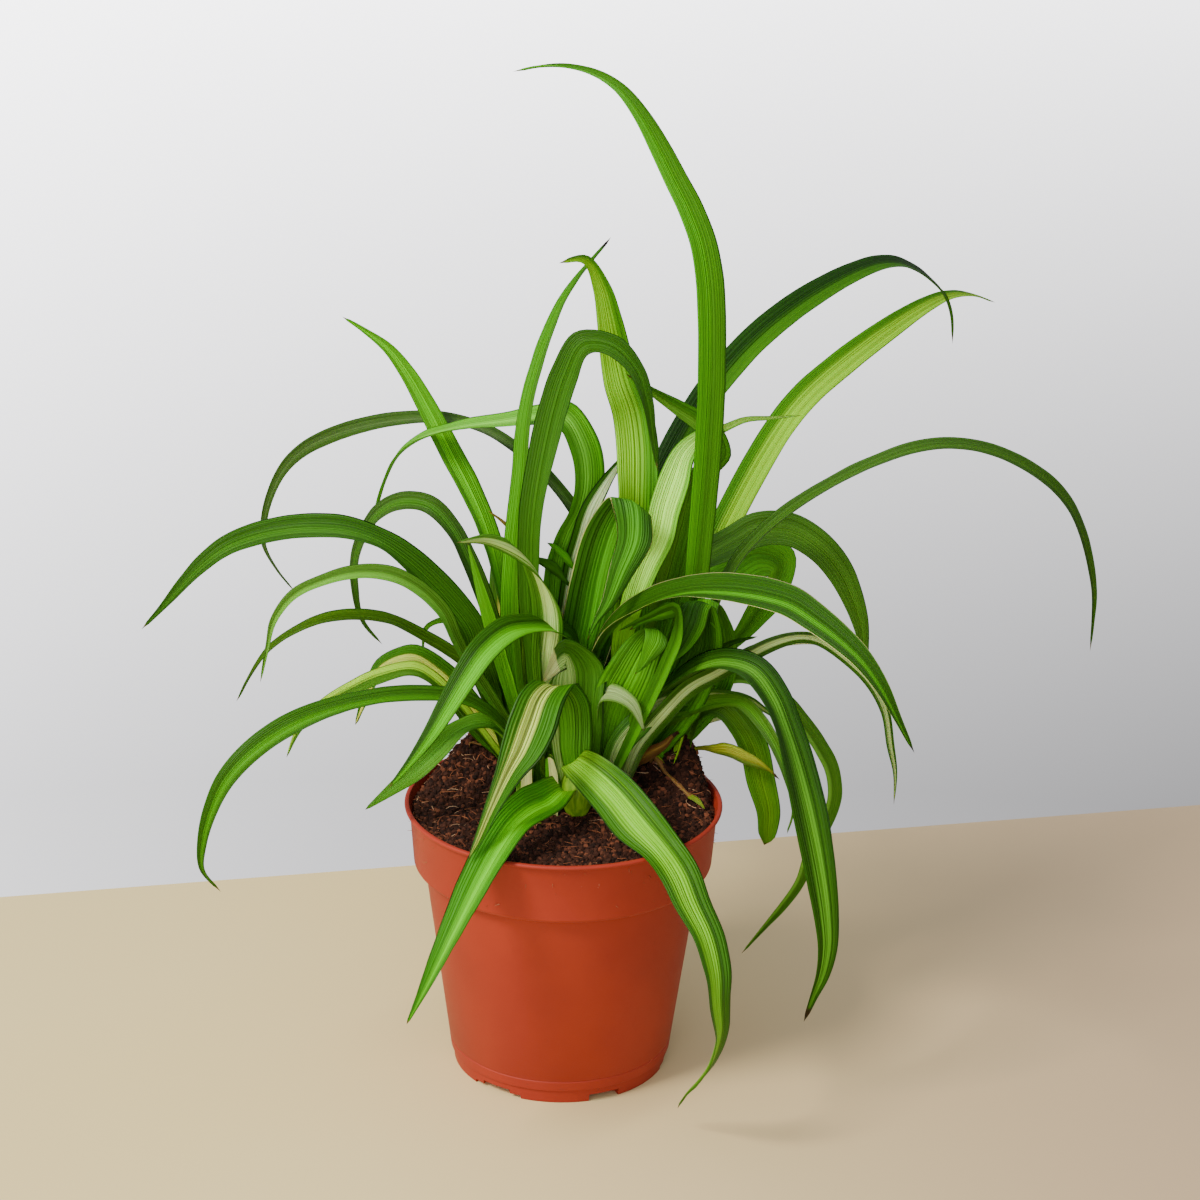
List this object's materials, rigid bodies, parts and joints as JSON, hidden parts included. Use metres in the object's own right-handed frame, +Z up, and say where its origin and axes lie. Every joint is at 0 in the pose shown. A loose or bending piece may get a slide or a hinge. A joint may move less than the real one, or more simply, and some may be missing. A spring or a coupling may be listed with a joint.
{
  "type": "potted spider plant",
  "caption": "Spider plant with long arching striped strap leaves in a tapered moulded nursery pot of soil, standing on a flat foot.",
  "frame": {"origin": "middle of the pot's flat foot, on the surface that it stands on", "axes": "+Z up along the pot's axis, +X to the right and +Y away from the viewer as pictured"},
  "size_m": [0.3269, 0.3049, 0.3391],
  "materials": {
    "pot": "matt terracotta-coloured moulded plastic",
    "soil": "damp dark brown peat compost with fine reddish fibres",
    "crown": "pale green, almost white, fleshy leaf sheaths",
    "leaf_bright": "bright green strap leaf with darker edges, satin",
    "leaf_cream": "cream-white strap leaf with thin green edges, satin",
    "leaf_dry": "old leaf, browned and ragged",
    "leaf_pale": "pale yellow-green strap leaf lit through, satin",
    "leaf_plain": "dark green strap leaf with a faint pale middle and fine lengthwise veins, satin",
    "leaf_striped": "green strap leaf with pale green and cream stripes along it, satin",
    "leaf_yellowing": "old leaf turning from green to yellow-olive"
  },
  "bodies": {
    "root": {"pot": "pot", "soil": "soil", "crown_front": "crown", "crown_left": "crown", "crown_right": "crown", "crown_back": "crown", "leaf_01_tallest": "leaf_bright", "leaf_02_upright_pale": "leaf_pale", "leaf_03_arched_middle": "leaf_plain", "leaf_04_upright_thin": "leaf_bright", "leaf_05_high_right": "leaf_plain", "leaf_06_pale_right": "leaf_pale", "leaf_07_far_right": "leaf_plain", "leaf_08_broad_right": "leaf_plain", "leaf_09_folded_right": "leaf_bright", "leaf_10_bright_right": "leaf_bright", "leaf_11_cream_upright": "leaf_cream", "leaf_12_blunt_middle": "leaf_plain", "leaf_13_bent_left": "leaf_striped", "leaf_14_high_left": "leaf_plain", "leaf_15_straight_left": "leaf_bright", "leaf_16_big_left": "leaf_plain", "leaf_17_hooked_left": "leaf_plain", "leaf_18_curled_left": "leaf_bright", "leaf_19_low_curled_left": "leaf_plain", "leaf_20_folded_middle": "leaf_striped", "leaf_21_cream_narrow": "leaf_cream", "leaf_22_cream_small_left": "leaf_cream", "leaf_23_short_left": "leaf_plain", "leaf_24_bright_front_left": "leaf_bright", "leaf_25_dull_front_left": "leaf_plain", "leaf_26_kinked_cream": "leaf_cream", "leaf_27_long_low_left": "leaf_bright", "leaf_28_pale_low_left": "leaf_striped", "leaf_29_striped_front": "leaf_striped", "leaf_30_short_striped": "leaf_striped", "leaf_31_cream_small_front": "leaf_cream", "leaf_32_over_rim_left": "leaf_bright", "leaf_33_over_rim_right": "leaf_striped", "leaf_34_hanging_right": "leaf_striped", "leaf_35_plain_back_right": "leaf_bright", "leaf_36_curling_back_right": "leaf_plain", "leaf_37_light_right": "leaf_plain", "leaf_38_cream_arch_right": "leaf_cream", "leaf_39_cream_thin_right": "leaf_cream", "leaf_40_drooping_cream": "leaf_cream", "leaf_41_dark_thin": "leaf_plain", "leaf_42_narrow_cream": "leaf_cream", "leaf_43_small_back_left": "leaf_plain", "leaf_44_olive_tip": "leaf_yellowing", "leaf_45_rounded_middle": "leaf_plain", "leaf_46_pointing_left": "leaf_plain", "leaf_47_back_low_right": "leaf_plain", "leaf_48_back_right": "leaf_bright", "leaf_49_back_left": "leaf_striped", "leaf_50_back_small": "leaf_plain", "young_leaves_front": "leaf_bright", "crumpled_leaves_front": "leaf_yellowing", "crumpled_leaves_right": "leaf_yellowing", "old_leaves_back": "leaf_dry"}
  },
  "joints": []
}
